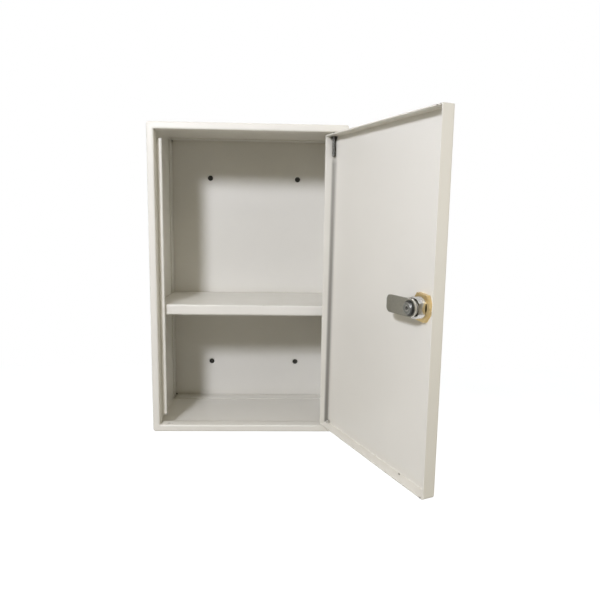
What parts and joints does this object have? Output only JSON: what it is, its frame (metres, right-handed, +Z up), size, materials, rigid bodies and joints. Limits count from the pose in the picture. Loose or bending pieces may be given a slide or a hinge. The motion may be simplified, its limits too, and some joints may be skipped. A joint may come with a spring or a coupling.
{
  "type": "first aid cabinet",
  "caption": "Wall-mounted first aid cabinet of folded sheet steel with a shelf, an inset door on pivot pins and a cam lock that catches behind a strike lip.",
  "frame": {"origin": "middle of the four wall holes, on the plane of the wall", "axes": "+X to the viewer's right when facing the cabinet, +Y into the wall, +Z up"},
  "size_m": [0.2824, 0.3138, 0.35],
  "materials": {
    "carcass_paint": "satin warm light grey powder coat",
    "door_paint": "satin warm light grey powder coat",
    "pin_steel": "bare drawn steel",
    "lock_nickel": "bright nickel plate",
    "nut_brass": "yellow passivated",
    "wafer_brass": "stamped brass",
    "cam_zinc": "dull zinc plate",
    "screw_dark": "darkened steel"
  },
  "bodies": {
    "cabinet": {"carcass": "carcass_paint", "back_panel": "carcass_paint", "shelf": "carcass_paint", "lower_pivot_pin": "pin_steel"},
    "door": {"door_panel": "door_paint", "upper_pivot_pin": "pin_steel", "lock_housing": "lock_nickel", "lock_nut": "nut_brass"},
    "lock_rotor": {"lock_plug": "lock_nickel", "lock_wafers": "wafer_brass", "stop_washer": "cam_zinc", "lock_cam": "cam_zinc", "cam_spring_washer": "screw_dark", "cam_screw": "screw_dark"}
  },
  "joints": [
    {"name": "door_hinge", "type": "hinge", "parent": "cabinet", "child": "door", "pos_m": [0.0943, -0.1318, 0], "axis": [0, 0, 1], "range_deg": [-113, 15]},
    {"name": "lock_turn", "type": "hinge", "parent": "door", "child": "lock_rotor", "pos_m": [0.16261, -0.28455, -0.0015], "axis": [0.9205, 0.3907, 0], "range_deg": [0, 180]}
  ]
}
